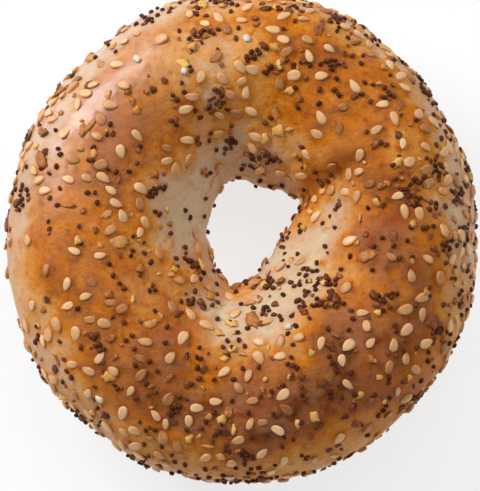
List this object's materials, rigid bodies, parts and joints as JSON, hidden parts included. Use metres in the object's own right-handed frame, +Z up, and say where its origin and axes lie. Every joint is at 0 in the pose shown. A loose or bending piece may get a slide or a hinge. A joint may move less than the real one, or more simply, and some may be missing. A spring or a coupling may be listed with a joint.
{
  "type": "bagel",
  "caption": "Seeded ring of baked bread with a domed crust, a small off-centre hole and a flat base it rests on.",
  "frame": {"origin": "middle of the flat base's footprint, on the surface that the bagel rests on", "axes": "+Z up through the hole, +X to the right and +Y to the back as the bagel is seen from above and slightly in front"},
  "size_m": [0.106, 0.11, 0.0384],
  "materials": {
    "crust": "satin baked crust, browned on top and pale on the flanks",
    "sesame_seed": "satin ivory to toasted gold",
    "poppy_seed": "matt slate to dark brown",
    "onion_flake": "dry toasted flake, matt",
    "salt_grain": "cloudy white crystal"
  },
  "bodies": {
    "root": {"bagel": "crust"}
  },
  "joints": []
}
